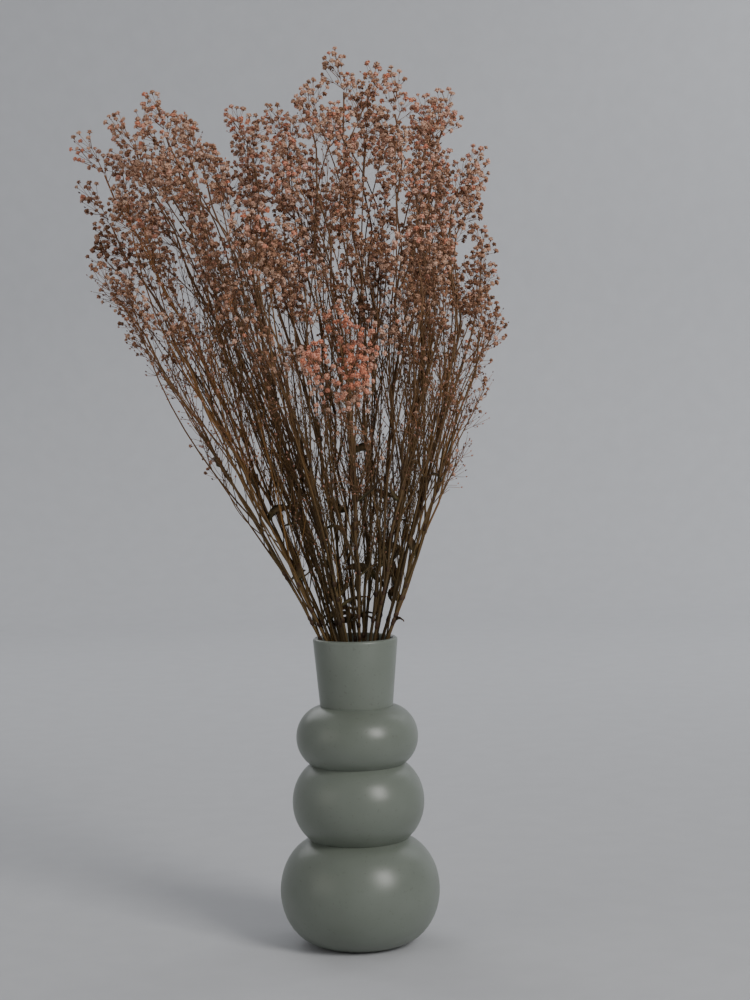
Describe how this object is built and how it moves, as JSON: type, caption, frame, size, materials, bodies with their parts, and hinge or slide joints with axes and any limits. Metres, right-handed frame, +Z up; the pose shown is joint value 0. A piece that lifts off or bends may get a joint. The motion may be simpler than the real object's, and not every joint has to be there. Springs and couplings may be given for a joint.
{
  "type": "preserved gypsophila in vase",
  "caption": "Tall bunch of dried, tinted gypsophila sprays fanning out of a sage green stoneware vase of stacked round bulbs with a flared neck.",
  "frame": {"origin": "centre of the flat base of the vase, on the surface it stands on", "axes": "+Z up through the mouth of the vase; the side shown in the picture faces -Y, with +X to the right of the picture"},
  "size_m": [0.3573, 0.2687, 0.7188],
  "materials": {
    "glaze": "smooth satin sage green glaze with a soft sheen",
    "blossom": "dry papery florets, dusty terracotta with paler and rustier ones",
    "stem": "dry olive brown stems, dull, with thicker joints",
    "leaf": "narrow dried leaves, dark brown, matt and curled"
  },
  "bodies": {
    "root": {"vase": "glaze", "spray_left_outer": "blossom", "spray_left_peak": "blossom", "spray_left_back": "blossom", "spray_left_shoulder": "blossom", "spray_left_middle": "blossom", "spray_left_low": "blossom", "spray_left_low_front": "blossom", "spray_left_far_back": "blossom", "spray_dip_left": "blossom", "spray_dip_back": "blossom", "spray_centre_left": "blossom", "spray_front_left": "blossom", "spray_front_centre": "blossom", "spray_front_high": "blossom", "spray_top": "blossom", "spray_top_back": "blossom", "spray_top_right": "blossom", "spray_right_peak": "blossom", "spray_right_outer": "blossom", "spray_right_back": "blossom", "spray_right_front": "blossom", "spray_right_middle": "blossom", "spray_right_low": "blossom", "spray_right_lowest": "blossom"}
  },
  "joints": []
}
